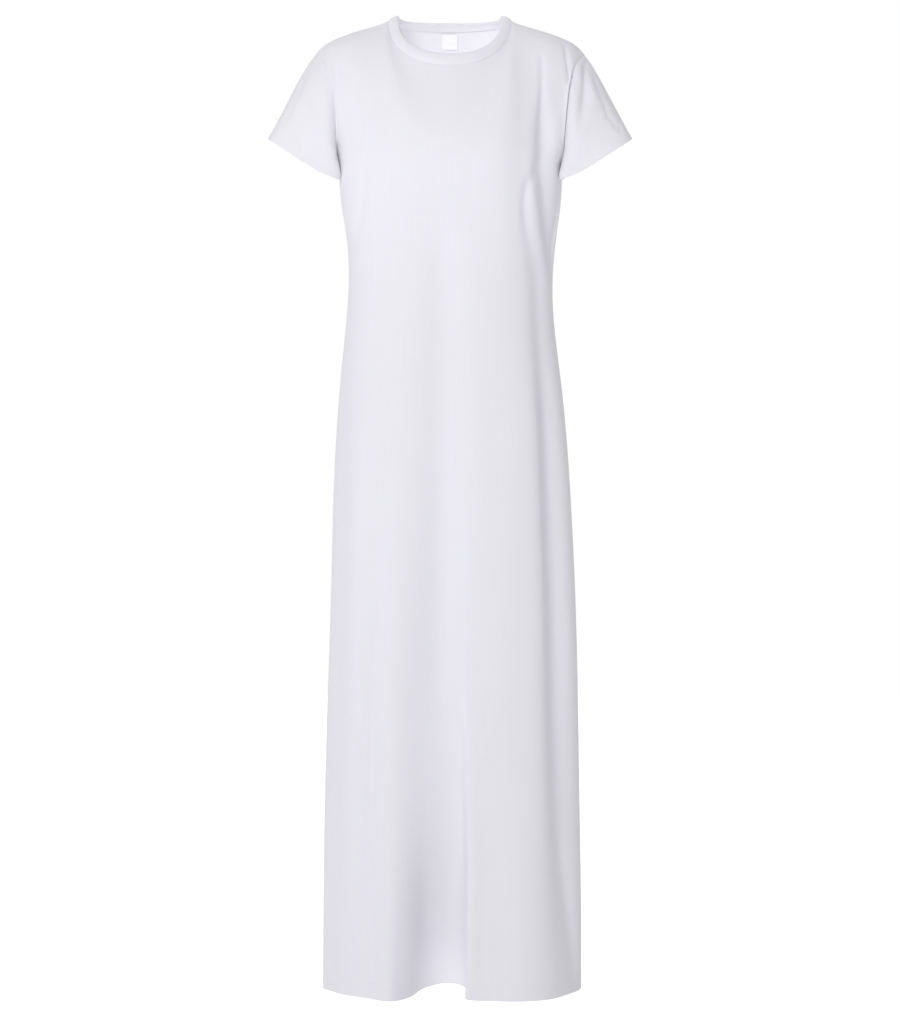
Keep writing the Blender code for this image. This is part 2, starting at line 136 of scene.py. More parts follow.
# Sleeves: the cuff is an ellipse that leans out, from its inner corner to its outer tip. Its front hangs lower,
# most near the inner corner, where it also comes toward the panel, and its back is higher.
CUFF_INNER = (168, -229)
CUFF_TIP = (268.5, -171.5)
CUFF_HALF_DEPTH = 47
CUFF_ROUNDNESS = (0.42, 0.62)
CUFF_FRONT_DROP = (11, 5)
CUFF_BACK_RISE = 11
CUFF_INNER_SHIFT = 8
# The pulls with which a sleeve leaves its armhole; the underarm's is first that of the front.
SLEEVE_START_UNDERARM = ((-4, 112, -24), (14, 30, -4))
SLEEVE_START_MIDDLE = {"left": (44, 26, -42), "right": (26, 84, -40), "back": (44, 40, -42)}
SLEEVE_START_TOP = (72, 34, -88)
SLEEVE_END_UNDERARM = 20
SLEEVE_END_TOP = 125

# The neckband leans in and up by these amounts from its seam to its edge, at the side, front and back. It rises
# further at the back's quarters, and bows out.
BAND_SIDE = (-14.5, 7.2)
BAND_FRONT = (6, 18)
BAND_BACK = (-14.5, 10.5)
BAND_BACK_QUARTERS = 2.6
BAND_BOW = 1.4

# Across its width the band's wall goes up outside, round the fold and down inside: a share of the width, and how
# far out of the middle it is, in layers.
BAND_LAYER = 0.9
BAND_PROFILE = (
    (0.0, -0.1), (0.04, 0.2), (0.1, 0.45), (0.2, 0.7), (0.35, 0.9), (0.6, 1), (0.8, 1), (0.92, 0.88), (0.98, 0.5),
    (1.0, 0), (0.98, -0.5), (0.92, -0.88), (0.8, -1), (0.6, -1), (0.35, -0.9), (0.15, -0.75), (0.02, -0.6),
)
BAND_COLUMNS = 820

# Label: its span across and up on the back panel's own grid, its thickness, how far its top stands off the panel,
# its lower edge twice as far, how much of it is folded under, and with what gap.
LABEL_ACROSS = (-0.037, 0.035)
LABEL_UP = (0.862, 0.985)
LABEL_COLUMNS = 25
LABEL_THICKNESS = 0.28
LABEL_STAND = 1.6
LABEL_FOLD = 21
LABEL_FOLD_GAP = 0.5

# Beside each armhole a panel's edge is tucked back behind the fold that hangs from the shoulder. A row has how
# far the edge goes back across and in depth, and how far the fold beside it stands out.
ARMHOLE_TUCK = {
    ("front", -1): (0.0, 0.4, 0.1),
    ("front", 1): (0.5, 7.0, 0.5),
    ("back", -1): (0.5, 3.0, 0.6),
    ("back", 1): (0.5, 3.0, 0.6),
}
TUCK_WIDTH = 3.4
TUCK_FOLD = (8, 6)
# It grows between the first two of these heights, and shrinks to this share between the last two.
TUCK_HEIGHTS = (-216, -188, -92, -62)
TUCK_TOP_SHARE = 0.15

# Creases that are shallower than the main lines, for each piece. A row has marks along the crease, which are its
# place across and up, its half width and its depth. A negative depth is a raised ridge.
CREASES = {
    "front": (
        # from the right shoulder down the chest, forking round a flat wedge, and on down the side
        ((133, -47, 3, 0), (134, -70, 4, 3), (135, -111, 5, 4.5), (137, -147, 9, 9), (140, -183, 13, 13),
         (135, -209, 11, 7), (123, -232, 8, 4), (110, -258, 5, 3.5), (111, -307, 7, 3.2), (121, -358, 10, 2.5),
         (127, -416, 10, 2), (134, -503, 10, 0)),
        ((138, -188, 9, 0), (137, -215, 10, 6), (139, -245, 10, 7), (143, -280, 10, 6.5), (148, -321, 10, 5),
         (151, -372, 9, 2), (152, -416, 8, 0)),
        ((152, -185, 12, 0), (153, -225, 18, 3), (153, -270, 20, 5), (152, -320, 20, 4), (152, -380, 18, 0)),
        ((112, -204, 3, 0), (116, -232, 5, -1.5), (121, -266, 6, -2), (129, -316, 8, -2), (138, -370, 8, -1.2),
         (143, -404, 7, 0)),
        # the two short folds from the shoulder seams to the armholes
        ((168, -33, 2.4, 0), (170, -46, 2.8, 3), (172.5, -65, 3, 4.2), (174, -82, 3, 4), (173, -101, 2.8, 0)),
        ((-173, -33, 2, 0), (-170.5, -56, 2.6, 0.9), (-167.5, -83, 2.6, 1.1), (-166.5, -109, 2.5, 0)),
        ((-166, -50, 3, 0), (-158, -76, 4, 0.9), (-151, -102, 4, 0)),
        # faint ones on the left of the chest
        ((-133.5, -131, 3, 0), (-130, -156, 4, 0.9), (-126.5, -182, 4, 0)),
        ((-122, -198, 4, 0), (-123.5, -227, 6, 1.8), (-126.5, -263, 7, 2.2), (-133.5, -302, 8, 2),
         (-142, -340, 8, 0)),
        # the long soft trough down the middle, above the valley, and a narrow one on the left of the skirt
        ((-10, -278, 18, 0), (-10, -416, 22, 5.5), (-11.5, -561, 24, 6.5), (-13, -706, 24, 7),
         (-14.5, -851, 24, 6), (-17.5, -982, 22, 3), (-19, -1098, 20, 0)),
        ((-94.5, -634, 10, 0), (-99, -779, 10, 1.5), (-104.5, -881, 9, 2), (-112.5, -997, 8, 2.6),
         (-115.5, -1113, 7, 2.6), (-117.5, -1229, 7, 2.2), (-117.5, -1316, 8, 1.5), (-113.5, -1382, 9, 0)),
        # toward the right end of the hem
        ((154, -1171, 8, 0), (168.5, -1280, 9, 3), (180, -1353, 10, 5), (187.5, -1418, 10, 6)),
    ),
    "back": (
        ((128, -80, 10, 0), (130, -130, 13, 4), (134, -200, 13, 4), (138, -260, 11, 0)),
        ((-126, -90, 10, 0), (-129, -140, 13, 4), (-133, -210, 13, 4), (-138, -270, 11, 0)),
        ((84, -296, 12, 0), (30, -312, 15, 3.6), (-30, -334, 16, 4), (-84, -350, 12, 0)),
        ((92, -348, 12, 0), (40, -366, 14, 3.6), (-20, -388, 15, 4), (-72, -404, 12, 0)),
        ((104, -600, 9, 0), (110, -760, 9, 2), (118, -940, 8, 2.4), (122, -1100, 8, 1.8), (122, -1240, 8, 0)),
        ((-40, -470, 16, 0), (-43, -600, 18, 4), (-46, -760, 18, 5), (-50, -900, 16, 3), (-52, -1010, 14, 0)),
    ),
    "sleeve_right_front": (
        # sleeves: the trough from the shoulder tip, the crinkles along the top, and shallow ones above the cuff
        ((199, -58, 4, 0), (200, -74, 5.5, 5), (199, -108, 7.5, 7), (194, -140, 9, 5), (184, -173, 10, 0)),
        ((206, -64, 3, 0), (214, -88, 4, 2), (224, -118, 4.5, 1.8), (232, -140, 4, 1.3), (243, -158, 4, 1.1),
         (252, -168, 3, 0)),
        ((228, -122, 2.5, 0), (231, -138, 3, 1.2), (231, -152, 3, 0)),
        ((246, -148, 2.5, 0), (250, -160, 3, 1), (250, -174, 3, 0)),
        ((212, -140, 8, 0), (208, -165, 11, 1.2), (202, -195, 12, 0)),
    ),
    "sleeve_left_front": (
        ((-206, -64, 3, 0), (-217, -90, 4, 1.6), (-228, -118, 4.5, 1.6), (-238, -140, 4, 1.2), (-250, -162, 3, 0)),
        ((-196, -70, 5, 0), (-199, -95, 7, 1.2), (-196, -125, 8, 1.2), (-190, -155, 9, 0)),
        ((-212, -80, 3, 0), (-219, -98, 3, 0.8), (-222, -112, 3, 0)),
        ((-236, -165, 6, 0), (-222, -176, 6, 0.9), (-206, -186, 5, 0)),
    ),
    "sleeve_right_back": (
        ((200, -72, 5, 0), (206, -105, 8, 3), (204, -145, 9, 2.4), (198, -190, 9, 0)),
    ),
    "sleeve_left_back": (
        ((-199, -70, 5, 0), (-204, -100, 8, 3), (-202, -140, 9, 2.4), (-197, -186, 9, 0)),
    ),
}

# Grid of each piece: even columns across a panel, and even rows below and above the underarm.
PANEL_COLUMNS = 144
SKIRT_ROWS = 204
CHEST_ROWS = 58
SLEEVE_ROWS = 46
EDGE_STEPS = np.array([0, 0.0015, 0.0035, 0.007, 0.012, 0.018, 0.026])
HEM_STEPS = (0, 0.5, 1.2, 2.5, 4.5)

# The front's hem rises in the valley: middle, half width, rise, and the height at which that has faded out.
HEM_RISE = (-4, 27, 4.5, 260)

# A seam draws the cloth in by this depth and half width, and a row of stitches by these.
SEAM_GROOVE = (0.6, 1.4)
STITCH_GROOVE = (0.28, 1.1)
STITCH_ROWS = (20.0, 25.5)
CUFF_STITCH_ROWS = (13.5, 18.5)
STITCH_SHARE = 0.84

# Creases fade out over this length beside a seam. Beside the neck ends the chest is evened across, round these
# columns and over this half width, by a mean that reaches so many columns with this bell width.
CREASE_FREE = 9
EVENED_COLUMNS = (0.56, 0.16)
EVENED_STEPS = (0.1, 0.5, 0.9, 0.985)
EVENED_REACH = 14
EVENED_BELL = 6.0

# Distances in the knits, the label's weave and the thread's twist, in metres.
WALE = 0.00115
COURSE = 0.0009
RIB_LOOP = 0.0009
WEFT = 0.00045
WARP = 0.0003
TWIST = 0.0004

# Stage, in metres: the floor, the lights (name, place, aim, side, power) and the camera at the photo's angle.
FLOOR_HALF = 9.0
FLOOR_HEIGHT = -1.62
FLOOR_GLOW = 0.62
LIGHTS = (
    ("key_light", (-1.0, -3.9, 0.9), (0, 0, -0.6), 1.8, 87.5),
    ("left_light", (-3.6, -1.6, -0.2), (0, 0, -0.6), 1.8, 6.8),
    ("right_light", (3.6, -1.6, 0.3), (0, 0, -0.5), 1.8, 10.5),
    # unseen itself, inside the chest: white cloth lets light through, which lights the inside
    ("neck_light", (0, -0.02, -0.24), (0, 0.03, 0.1), 0.14, 0.205),
)
CAMERA_PLACE = (0.0, -4.0, -0.7193)
CAMERA_LENS = 63.717
# Soft light from all round: a way and how bright the dome is there, falling with the cosine away from it.
DOME = (((0, 0, 1), 0.62), ((0, 0, -1), 1.4), ((-1, 0, 0), 0.32), ((1, 0, 0), 0.2), ((0, 1, 0), 0.3))
DOME_COLOUR = (0.965, 0.96, 1, 1)


def spline(knots, values, at, start=None, end=None):
    """Smooth cubic through values (knots, ...) read at the places `at`; start and end fix the end slopes."""
    knots, values = np.asarray(knots, float), np.asarray(values, float)
    shape = values.shape[1:]
    values = values.reshape(len(knots), -1)
    if knots[0] > knots[-1]:
        knots, values = knots[::-1], values[::-1]
    step = np.diff(knots)
    rise = np.diff(values, axis=0) / step[:, None]
    system = np.zeros((len(knots), len(knots)))
    right = np.zeros_like(values)
    for i in range(1, len(knots) - 1):
        system[i, i - 1 : i + 2] = step[i], 2 * (step[i - 1] + step[i]), step[i - 1]
        right[i] = 3 * (step[i] * rise[i - 1] + step[i - 1] * rise[i])
    for end_row, slope, beside, first in ((0, start, 1, 0), (-1, end, -2, -1)):
        system[end_row, end_row] = 1 if slope is not None else 2
        if slope is None:
            system[end_row, beside] = 1
            right[end_row] = 3 * rise[first]
        else:
            right[end_row] = np.ravel(slope)
    slopes = np.linalg.solve(system, right)
    at = np.clip(np.asarray(at, float), knots[0], knots[-1])
    cell = np.clip(np.searchsorted(knots, at) - 1, 0, len(step) - 1)
    part = (at - knots[cell]) / step[cell]
    pulls = [slopes[k] * step[cell][:, None] for k in (cell, cell + 1)]
    result = hermite(values[cell], pulls[0], values[cell + 1], pulls[1], part[:, None])
    return result.reshape(len(at), *shape)


def hermite(begin, leave, finish, arrive, t):
    """Cubic from begin to finish that leaves and arrives with the two given pulls, at t from 0 to 1."""
    return (
        (2 * t**3 - 3 * t**2 + 1) * begin
        + (t**3 - 2 * t**2 + t) * leave
        + (3 * t**2 - 2 * t**3) * finish
        + (t**3 - t**2) * arrive
    )


def unit(vectors):
    """Each vector divided by its length."""
    return vectors / np.maximum(np.linalg.norm(vectors, axis=-1, keepdims=True), 1e-9)


def xyz(x, y, z):
    """Points or directions from their three parts, some of which may be single numbers."""
    return np.stack(np.broadcast_arrays(x, y, z), axis=-1)


def bell(distance, half_width):
    """exp(-(distance / half width)^2)."""
    return np.exp(-((distance / half_width) ** 2))


def smooth_step(low, high, value):
    """0 below low, 1 above high, and 3 t^2 - 2 t^3 between them."""
    t = np.clip((value - low) / (high - low), 0, 1)
    return t * t * (3 - 2 * t)


def line_points(lines, heights):
    """Points (height, line, xyz) of a panel's lines with its two side seams, at the given heights."""
    seams = np.array(SIDE_SEAMS, float)
    levels = np.array(LEVELS, float)
    across, depth = (np.array([row[k] for row in lines], float).T for k in (1, 2))

    def middle_and_half(z):
        left, right = spline(seams[:, 0], seams[:, 1:], z).T
        return (right - left) / 2, (right + left) / 2

    middle, half = middle_and_half(levels)
    share = (across - middle[:, None]) / half[:, None]
    side = np.ones((len(levels), 1))
    share = np.hstack([-side, share, side])
    depth = np.hstack([0 * side, depth, 0 * side])
    middle, half = middle_and_half(heights)
    share = spline(levels, share, heights)
    x = middle[:, None] + half[:, None] * share
    return xyz(x, spline(levels, depth, heights), np.asarray(heights, float)[:, None])


def line_knots(lines):
    """Place of each line between the side seams at -1 and 1, by the mean length of cloth between them."""
    length = lengths_along(line_points(lines, np.array(LEVELS, float)), 1)
    return 2 * (length / length[:, -1:]).mean(axis=0) - 1


def skirt(lines, columns, heights):
    """Points (height, column, xyz) below the underarm: a smooth section through the lines at each height."""
    knots = line_knots(lines)
    rows = []
    for points in line_points(lines, heights):
        facing = np.sign(points[1, 1])
        start = np.linalg.norm(points[1] - points[0]) / (knots[1] - knots[0])
        end = np.linalg.norm(points[-1] - points[-2]) / (knots[-1] - knots[-2])
        rows.append(spline(knots, points, columns, (0, facing * start, 0), (0, -facing * end, 0)))
    return np.array(rows)


def top_edge(columns, neck):
    """Points of the shoulder seams and the neckline, one for each column, and the cloth's pull as it ends."""
    side = np.sign(columns)
    facing = np.sign(neck["depth"])
    shoulder = np.array(SHOULDER, float)
    length = lengths_along(shoulder, 0)
    along = np.clip((abs(columns) - NECK_SHARE) / (1 - NECK_SHARE), 0, 1)
    seam = spline(length / length[-1], shoulder, along)
    angle = np.clip(columns / NECK_SHARE, -1, 1) * np.pi / 2
    bow = np.clip(np.cos(angle), 0, 1) ** NECK_ROUNDNESS
    neckline = xyz(
        NECK_HALF_WIDTH * np.sign(angle) * abs(np.sin(angle)) ** NECK_ROUNDNESS,
        neck["depth"] * bow,
        neck["drop"] * bow + SHOULDER[0][1] * (1 - bow) ** 2,
    )
    on_shoulder = (abs(columns) > NECK_SHARE)[:, None]
    edge = np.where(on_shoulder, xyz(side * seam[:, 0], 0, seam[:, 1]), neckline)
    middle_end = np.array(FRONT_NECK_END if facing < 0 else BACK_NECK_END, float)
    blend = (np.sin(angle) ** 4)[:, None]
    neck_pull = middle_end + blend * (np.array(NECK_SIDE_END) - middle_end)
    toward_tip = (along**3)[:, None]
    toward_shoulder = smooth_step(0, 0.6, along)[:, None]
    pull = neck_pull + toward_shoulder * (np.array(SHOULDER_END) - neck_pull)
    pull = pull + toward_tip * (np.array(ARMHOLE_END) - pull)
    return edge, pull * xyz(side, -facing, 1)


def chest(lines, neck, columns, steps):
    """Points (step, column, xyz) from the underarm level up to the shoulder seams and the neckline."""
    below, base = skirt(lines, columns, (UNDERARM_HEIGHT - 1, UNDERARM_HEIGHT))
    up = unit(base - below)
    facing = np.sign(neck["depth"])
    edge, arrive = top_edge(columns, neck)
    height = np.linalg.norm(edge - base, axis=1)[:, None]
    nearness = (abs(columns) ** EDGE_SHARPNESS)[:, None]
    swing = np.array(ARMHOLE_START) * xyz(np.sign(columns), facing, 1)
    leave = up * height * (1 - nearness) + swing * nearness
    return np.array([hermite(base, leave, edge, arrive, t) for t in steps])


def evened(points, share):
    """Each row's points moved by their share toward the bell-weighted mean of their neighbours across."""
    shifts = np.arange(2 * EVENED_REACH + 1)
    weights = bell(shifts - EVENED_REACH, EVENED_BELL)
    weights /= weights.sum()
    wide = np.pad(points, ((0, 0), (EVENED_REACH, EVENED_REACH), (0, 0)), mode="edge")
    mean = sum(w * wide[:, k : k + points.shape[1]] for w, k in zip(weights, shifts))
    return points + share[..., None] * (mean - points)


def surface_normals(points, closed=False):
    """Unit normals of a grid (row, column, xyz), the cross product of the ways across and along the rows."""
    if closed:
        points = np.concatenate([points[:, -2:-1], points, points[:, 1:2]], axis=1)
    along = np.gradient(points, axis=0)
    across = np.gradient(points, axis=1)
    result = unit(np.cross(across, along))
    return result[:, 1:-1] if closed else result


def lengths_along(points, axis):
    """Length of cloth from the first row or column to each point of a grid or line, along that axis."""
    step = np.linalg.norm(np.diff(points, axis=axis), axis=-1)
    start = np.zeros_like(np.take(step, [0], axis=axis))
    return np.concatenate([start, np.cumsum(step, axis=axis)], axis=axis)


def crease_depth(piece, points):
    """How far each point sinks in: the sum of the creases' depths there, each times the bell of the distance."""
    sunk = np.zeros(points.shape[:2])
    place = points[..., [0, 2]]
    for marks in CREASES[piece]:
        marks = np.array(marks, float)
        line = spline(np.arange(len(marks)), marks, np.linspace(0, len(marks) - 1, 9 * len(marks)))
        reach = 3 * abs(line[:, 2]).max()
        low, high = line[:, :2].min(axis=0) - reach, line[:, :2].max(axis=0) + reach
        near = np.all((place > low) & (place < high), axis=-1)
        if not near.any():
            continue
        offset = place[near][:, None] - line[None, :-1, :2]
        run = np.diff(line[:, :2], axis=0)
        share = np.clip((offset * run).sum(axis=-1) / (run * run).sum(axis=-1), 0, 1)
        distance = np.linalg.norm(offset - share[..., None] * run, axis=-1)
        cell = distance.argmin(axis=1)
        pick = np.arange(len(cell))
        half_width, depth = (
            line[cell, k] + share[pick, cell] * (line[cell + 1, k] - line[cell, k]) for k in (2, 3)
        )
        sunk[near] += depth * bell(distance[pick, cell], np.maximum(half_width, 1))
    return sunk


def unevenness(points, phase):
    """Slight unevenness of hung cloth: three long waves across that drift as they run down, in millimetres."""
    x, z = points[..., 0], points[..., 2]
    drift = 6 * np.sin(z / 97 + phase)
    return (
        0.30 * np.sin((x + drift) / 17 + phase) * np.sin(z / 210 + 2.1 * phase)
        + 0.22 * np.sin((x - drift) / 9.5 + 1.7 * phase) * np.sin(z / 130 + phase)
        + 0.25 * np.sin(z / 41 + 0.6 * np.sin(x / 60) + phase) * np.sin(x / 70 + phase)
    )


def hem_pucker(along, above, phase):
    """Small puckers that the hem's stitches draw in: two uneven waves along it, fading out above and below."""
    waves = 0.30 * np.sin(along / 4.3 + 2 * np.sin(along / 61 + phase)) + 0.26 * np.sin(along / 8.7 + phase)
    return waves * (0.6 + 0.4 * np.sin(along / 47 + 3 * phase)) * bell(above - 20, 14)


def panel_columns():
    """Columns from -1 at the left side seam to 1 at the right one, closer at the seams, with both neck ends."""
    middle = np.linspace(-1 + EDGE_STEPS[-1], 1 - EDGE_STEPS[-1], PANEL_COLUMNS + 1)
    columns = np.concatenate([-1 + EDGE_STEPS[:-1], middle, 1 - EDGE_STEPS[:-1][::-1]])
    for place in (-NECK_SHARE, NECK_SHARE):
        columns[np.argmin(abs(columns - place))] = place
    return columns


def hem_heights():
    """Heights of the skirt's rows above the hem: close at the fold and at each row of stitches, then even."""
    close = [*HEM_STEPS]
    for row in STITCH_ROWS:
        close += [row - 2, row - 1, row, row + 1, row + 2]
    close = sorted(set(close) | {8, 12, 15})
    rest = np.linspace(close[-1] + 4, UNDERARM_HEIGHT - HEM_HEIGHT, SKIRT_ROWS)
    return HEM_HEIGHT + np.concatenate([close, rest])


def chest_steps():
    """Steps from the underarm to the top edge, closer at the top."""
    even = np.linspace(0, 0.975, CHEST_ROWS + 1)[1:]
    return np.concatenate([even, [0.984, 0.99, 0.9945, 0.9975, 1]])


def from_last_row(points):
    """Length of cloth from the last row to each point of a grid."""
    return lengths_along(points[::-1], 0)[::-1]


def edge_distances(points):
    """Length of cloth to each point from the left seam, from the nearer side seam, and from the top edge."""
    across = lengths_along(points, 1)
    return across, np.minimum(across, across[:, -1:] - across), from_last_row(points)


@functools.cache
def panels():
    """The two panels' points and outward directions, with every fold, tuck, seam groove and stitch groove.

    A point is the panel's own surface at that column and height, moved back across and in depth beside the
    armhole, then out by the fold beside it, and in by the creases, the grooves and the unevenness."""
    columns, heights, steps = panel_columns(), hem_heights(), chest_steps()
    made = {}
    for name, lines, neck, facing in (("front", FRONT_LINES, FRONT_NECK, -1), ("back", BACK_LINES, BACK_NECK, 1)):
        points = np.concatenate([skirt(lines, columns, heights), chest(lines, neck, columns, steps)])
        if name == "front":
            middle, half_width, rise, reach = HEM_RISE
            low = 1 - smooth_step(0, reach, points[..., 2] - HEM_HEIGHT)
            points[..., 2] += rise * low * bell(points[..., 0] - middle, half_width)
        near_top = smooth_step(*EVENED_STEPS[:2], steps) * (1 - smooth_step(*EVENED_STEPS[2:], steps))
        near_top = np.concatenate([0 * heights, near_top])
        points = evened(points, near_top[:, None] * bell(abs(columns) - EVENED_COLUMNS[0], EVENED_COLUMNS[1]))
        outward = surface_normals(points) * -facing
        across, from_side, from_top = edge_distances(points)
        free = smooth_step(0, CREASE_FREE, from_side) * smooth_step(0, CREASE_FREE, from_top)
        above = points[..., 2] - points[:1, :, 2]
        sunk = crease_depth(name, points) + unevenness(points, 1.3 + facing)
        sunk = (sunk + hem_pucker(across, above, 2.0 + facing)) * free
        points = points - outward * sunk[..., None]
        for side, from_seam in ((-1, across), (1, across[:, -1:] - across)):
            points += armhole_tuck(name, side, points, outward, from_seam)
        made[name] = {"points": points, "outward": surface_normals(points) * -facing}
    share_seams(made["front"], made["back"], len(heights))
    for panel in made.values():
        points = panel["points"]
        _, from_side, from_top = edge_distances(points)
        above_hem = lengths_along(points, 0)
        sunk = groove(np.minimum(from_side, from_top), *SEAM_GROOVE)
        for row in STITCH_ROWS:
            sunk += groove(above_hem - row, *STITCH_GROOVE)
        panel["points"] = points - panel["outward"] * sunk[..., None]
        panel["columns"] = columns
        panel["first_chest_row"] = len(heights) - 1
        panel["above_hem"] = above_hem
    return made


def groove(distance, depth, half_width):
    """Depth times the bell of the distance."""
    return depth * bell(distance, half_width)


def armhole_tuck(name, side, points, outward, from_seam):
    """How far a panel's points move beside one armhole: the edge back and in, and the fold beside it out."""
    back_across, back_depth, fold = ARMHOLE_TUCK[name, side]
    edge_height = points[:, -1 if side > 0 else 0, 2][:, None]
    share = smooth_step(*TUCK_HEIGHTS[:2], edge_height)
    share = share * (1 - (1 - TUCK_TOP_SHARE) * smooth_step(*TUCK_HEIGHTS[2:], edge_height))
    tuck = bell(from_seam, TUCK_WIDTH) * share
    ridge = bell(from_seam - TUCK_FOLD[0], TUCK_FOLD[1]) * share
    way = np.array([-side * back_across, back_depth * (1 if name == "front" else -1), 0])
    return tuck[..., None] * way + ridge[..., None] * fold * outward


def share_seams(front, back, skirt_rows):
    """At the side and shoulder seams both panels take one edge and the mean of their directions."""
    for column in (0, -1):
        edge, other = front["points"][:skirt_rows, column], back["points"][:skirt_rows, column]
        edge[:] = other[:] = (edge + other) / 2
    skirt_part = slice(skirt_rows)
    for place in ((skirt_part, 0), (skirt_part, -1), (-1, abs(panel_columns()) >= NECK_SHARE)):
        way = unit(front["outward"][place] + back["outward"][place])
        front["outward"][place] = back["outward"][place] = way


def turned_in(points, outward, allowance, gap):
    """A hem turned in at the first row: the inner layer, half a circle round the fold, then the grid itself.

    Returns the longer grid and the length of cloth from the fold to each of its rows, less than 0 inside."""
    length = lengths_along(points, 0).mean(axis=1)
    count = int(np.searchsorted(length, allowance))
    inner = points[1 : count + 1][::-1] - outward[1 : count + 1][::-1] * gap
    away = unit(points[0] - points[1])
    turn = np.array([1, 0.75, 0.5, 0.25]) * np.pi
    bend = [points[0] + gap / 2 * (outward[0] * (np.cos(a) - 1) + away * np.sin(a)) for a in turn]
    rows = np.concatenate([inner, bend, points])
    bend_length = -gap * turn / 2
    inner_length = -length[1 : count + 1][::-1] - gap * np.pi / 2
    return rows, np.concatenate([inner_length, bend_length, length])


def sleeve_surface(side):
    """Points (row, column, xyz) from the armhole's loop down to the cuff's leaning ellipse, and directions.

    Each column is a cubic from the armhole to the cuff, and its pulls change with its turn round the arm."""
    made = panels()
    first = made["front"]["first_chest_row"]
    column = -1 if side > 0 else 0
    halves = [made[name]["points"][first:, column] for name in ("front", "back")]
    loop = np.concatenate([halves[0], halves[1][-2::-1]])
    half = np.pi * np.concatenate([[0], chest_steps()])
    turn = np.concatenate([half, 2 * np.pi - half[-2::-1]])
    top = ((1 - np.cos(turn)) / 2)[:, None]
    ahead = np.sin(turn)
    inner, tip = (xyz(across, 0, up) for across, up in (CUFF_INNER, CUFF_TIP))
    lean = (tip - inner) / 2
    cuff = (inner + tip) / 2 - np.cos(turn)[:, None] * lean
    roundness = np.interp(top[:, 0], (0, 1), CUFF_ROUNDNESS)
    turned = np.sign(ahead) * abs(ahead) ** roundness
    cuff[:, 1] -= CUFF_HALF_DEPTH * turned
    cuff[:, 2] += CUFF_BACK_RISE * np.clip(-turned, 0, 1)
    cuff[:, 2] -= np.interp(top[:, 0], (0, 1), CUFF_FRONT_DROP) * np.clip(turned, 0, 1)
    cuff[:, 0] -= CUFF_INNER_SHIFT * smooth_step(0, 0.3, ahead) * (1 - smooth_step(0, 0.25, top[:, 0]))
    axis = unit(np.array([lean[2], 0, -lean[0]]))
    word = "right" if side > 0 else "left"
    front_share = smooth_step(-0.15, 0.15, ahead)
    front_leave, back_leave = (
        spline([0, 0.5, 1], (under, SLEEVE_START_MIDDLE[key], SLEEVE_START_TOP), top[:, 0])
        for under, key in zip(SLEEVE_START_UNDERARM, (word, "back"))
    )
    leave = back_leave + front_share[:, None] * (front_leave - back_leave)
    leave[:, 1] *= -turned
    arrive = (SLEEVE_END_UNDERARM + top * (SLEEVE_END_TOP - SLEEVE_END_UNDERARM)) * axis
    mirror = np.array([side, 1, 1])
    steps = sleeve_steps()
    points = np.array([hermite(loop * mirror, leave, cuff, arrive, t) for t in steps]) * mirror
    way = surface_normals(points, closed=True)
    middle = len(loop) // 4
    outward_sign = np.sign(way[-1, middle] @ (points[-1, middle] - points[-1].mean(axis=0)))
    way = way * outward_sign
    sunk = crease_depth(f"sleeve_{word}_front", points) * front_share
    sunk += crease_depth(f"sleeve_{word}_back", points) * (1 - front_share)
    above_cuff, from_armhole = from_last_row(points), lengths_along(points, 0)
    around = lengths_along(points, 1)
    sunk += unevenness(points, 0.4 + side) * smooth_step(0, 12, from_armhole)
    sunk += groove(np.minimum(around, around[:, -1:] - around), *SEAM_GROOVE) * smooth_step(0, 8, from_armhole)
    for row in CUFF_STITCH_ROWS:
        sunk += groove(above_cuff - row, *STITCH_GROOVE) * smooth_step(0, 6, from_armhole)
    points = points - way * sunk[..., None]
    return points, surface_normals(points, closed=True) * outward_sign, outward_sign


def sleeve_steps():
    """Steps from the armhole to the cuff, closer at both ends."""
    start = np.array([0, 0.006, 0.016, 0.03])
    end = np.array([0.93, 0.945, 0.96, 0.972, 0.983, 0.992, 0.997, 1])
    return np.concatenate([start, np.linspace(0.05, 0.915, SLEEVE_ROWS), end])


